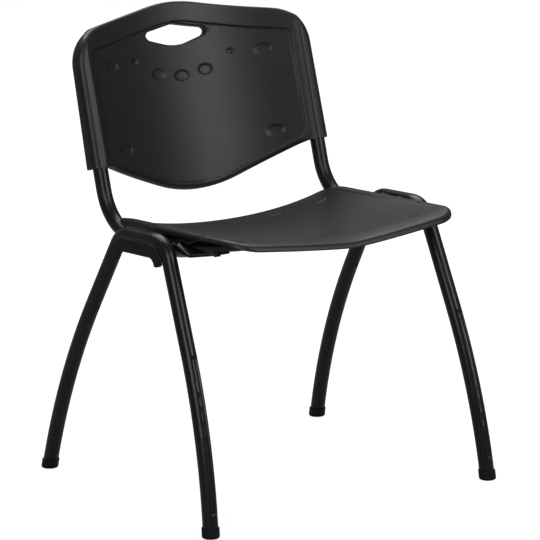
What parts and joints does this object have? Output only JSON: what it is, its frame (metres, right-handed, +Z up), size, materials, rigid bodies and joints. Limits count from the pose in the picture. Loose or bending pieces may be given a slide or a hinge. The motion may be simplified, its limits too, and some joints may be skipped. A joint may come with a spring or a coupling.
{
  "type": "stacking chair",
  "caption": "Stacking choir chair with a dished plastic seat, a curved plastic back with a hand hole, and bent steel tube legs.",
  "frame": {"origin": "on the floor, under the middle of the chair's overall width and depth", "axes": "+Z up, -Y towards the sitter's front, +X to the right as seen from in front of the chair"},
  "size_m": [0.5904, 0.5591, 0.7729],
  "materials": {
    "frame_coating": "black satin powder coat",
    "shell_plastic": "black moulded plastic with a fine satin grain",
    "bumper_plastic": "black moulded plastic",
    "glide_plastic": "black moulded plastic, smooth sole",
    "fastener_steel": "black oxide steel"
  },
  "bodies": {
    "root": {"left_leg_loop": "frame_coating", "right_leg_loop": "frame_coating", "left_back_rail": "frame_coating", "right_back_rail": "frame_coating", "front_cross_tube": "frame_coating", "rear_cross_tube": "frame_coating", "left_front_bridge_plate": "frame_coating", "right_front_bridge_plate": "frame_coating", "left_rear_bridge_plate": "frame_coating", "right_rear_bridge_plate": "frame_coating", "left_front_seat_tab": "frame_coating", "right_front_seat_tab": "frame_coating", "left_rear_seat_tab": "frame_coating", "right_rear_seat_tab": "frame_coating", "seat_shell": "shell_plastic", "back_shell": "shell_plastic", "left_stacking_bumper": "bumper_plastic", "right_stacking_bumper": "bumper_plastic", "left_front_glide": "glide_plastic", "left_rear_glide": "glide_plastic", "right_front_glide": "glide_plastic", "right_rear_glide": "glide_plastic", "bumper_rivets": "fastener_steel", "seat_screws": "fastener_steel", "back_screws": "fastener_steel"}
  },
  "joints": []
}
